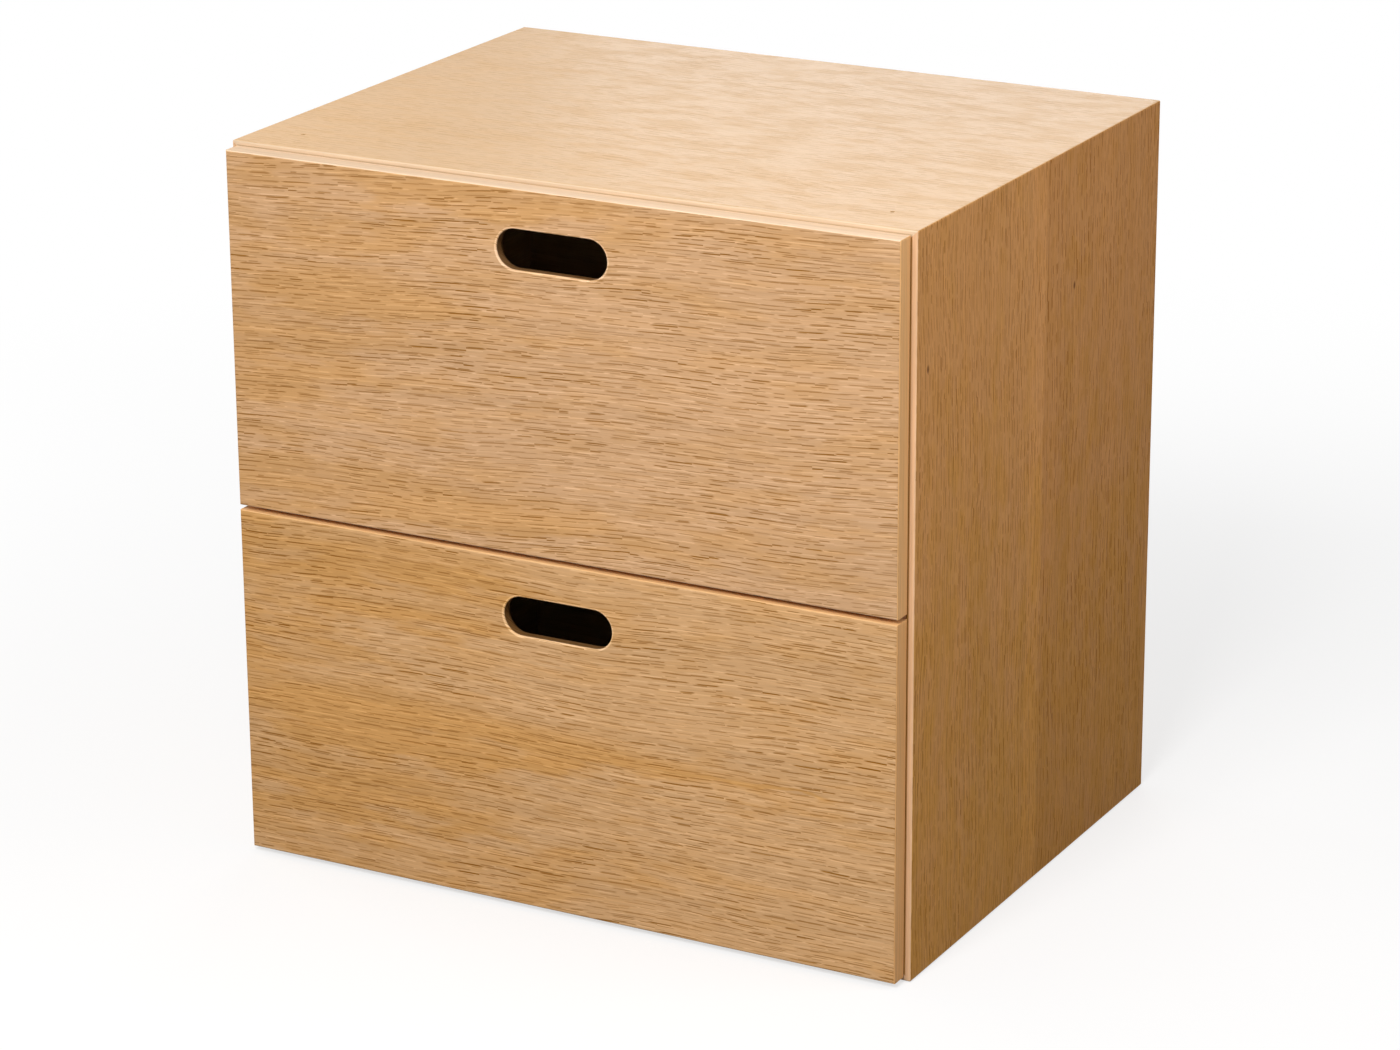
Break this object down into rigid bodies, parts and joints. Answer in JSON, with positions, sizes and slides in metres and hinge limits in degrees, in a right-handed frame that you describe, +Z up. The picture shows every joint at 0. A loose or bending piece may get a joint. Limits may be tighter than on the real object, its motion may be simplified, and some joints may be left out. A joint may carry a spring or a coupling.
{
  "type": "drawer unit",
  "caption": "Free-standing oak-veneer drawer unit: a mitred box with stacked overlay drawers, each with a stadium finger hole, that slide out on wooden side runners.",
  "frame": {"origin": "under the middle of the whole unit, on the surface that it stands on", "axes": "+X to the right seen from the front, +Y from the drawer fronts to the back, +Z up"},
  "size_m": [0.37, 0.291, 0.37],
  "materials": {
    "carcass_oak": "matt oil on veneer",
    "front_oak": "matt oil on veneer",
    "back_oak": "matt veneered plywood",
    "hardwood": "bare hardwood",
    "drawer_board": "bare pale board",
    "drawer_ply": "bare plywood",
    "screw_steel": "zinc plated",
    "bumper_rubber": "soft clear grey"
  },
  "bodies": {
    "carcass": {"top_panel": "carcass_oak", "bottom_panel": "carcass_oak", "left_side_panel": "carcass_oak", "right_side_panel": "carcass_oak", "back_panel": "back_oak", "top_left_tongue": "hardwood", "top_right_tongue": "hardwood", "bottom_left_tongue": "hardwood", "bottom_right_tongue": "hardwood", "upper_left_runner": "hardwood", "upper_right_runner": "hardwood", "lower_left_runner": "hardwood", "lower_right_runner": "hardwood", "runner_screws": "screw_steel"},
    "upper_drawer": {"upper_drawer_front": "front_oak", "upper_drawer_left_side": "drawer_board", "upper_drawer_right_side": "drawer_board", "upper_drawer_back": "drawer_board", "upper_drawer_bottom": "drawer_ply", "upper_drawer_front_dowels": "hardwood", "upper_drawer_back_dowels": "hardwood", "upper_drawer_bottom_screws": "screw_steel", "upper_drawer_bumpers": "bumper_rubber"},
    "lower_drawer": {"lower_drawer_front": "front_oak", "lower_drawer_left_side": "drawer_board", "lower_drawer_right_side": "drawer_board", "lower_drawer_back": "drawer_board", "lower_drawer_bottom": "drawer_ply", "lower_drawer_front_dowels": "hardwood", "lower_drawer_back_dowels": "hardwood", "lower_drawer_bottom_screws": "screw_steel", "lower_drawer_bumpers": "bumper_rubber"}
  },
  "joints": [
    {"name": "upper_drawer_slide", "type": "slide", "parent": "carcass", "child": "upper_drawer", "axis": [0, -1, 0], "range_m": [0, 0.2]},
    {"name": "lower_drawer_slide", "type": "slide", "parent": "carcass", "child": "lower_drawer", "axis": [0, -1, 0], "range_m": [0, 0.2]}
  ]
}
